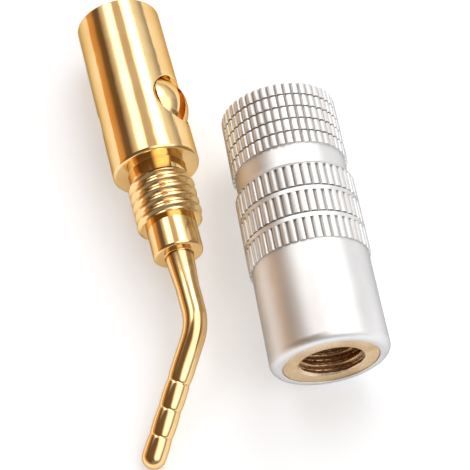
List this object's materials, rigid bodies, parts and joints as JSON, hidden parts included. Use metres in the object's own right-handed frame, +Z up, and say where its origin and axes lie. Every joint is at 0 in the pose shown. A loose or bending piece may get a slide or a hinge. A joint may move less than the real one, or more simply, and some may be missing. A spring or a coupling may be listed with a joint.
{
  "type": "banana plug with bent contact pin",
  "caption": "Bent-pin speaker plug taken apart: a gold-plated body with facing clamp screws, beside its knurled silver shell with a threaded brass insert.",
  "frame": {"origin": "on the surface that the two pieces lie on, under the middle of their shared box", "axes": "+Z up from that surface; -Y along the gold body's axis, from its wire bore towards its pin; +X towards the silver shell"},
  "size_m": [0.0246, 0.0432, 0.0106],
  "materials": {
    "gold": "polished gold plating",
    "gold_screw": "polished gold plating",
    "satin_silver": "satin nickel plating over brass",
    "brass": "plain turned brass"
  },
  "bodies": {
    "root": {"plug_body": "gold", "clamp_screw_upper": "gold_screw", "clamp_screw_lower": "gold_screw", "shell": "satin_silver", "threaded_insert": "brass"}
  },
  "joints": []
}
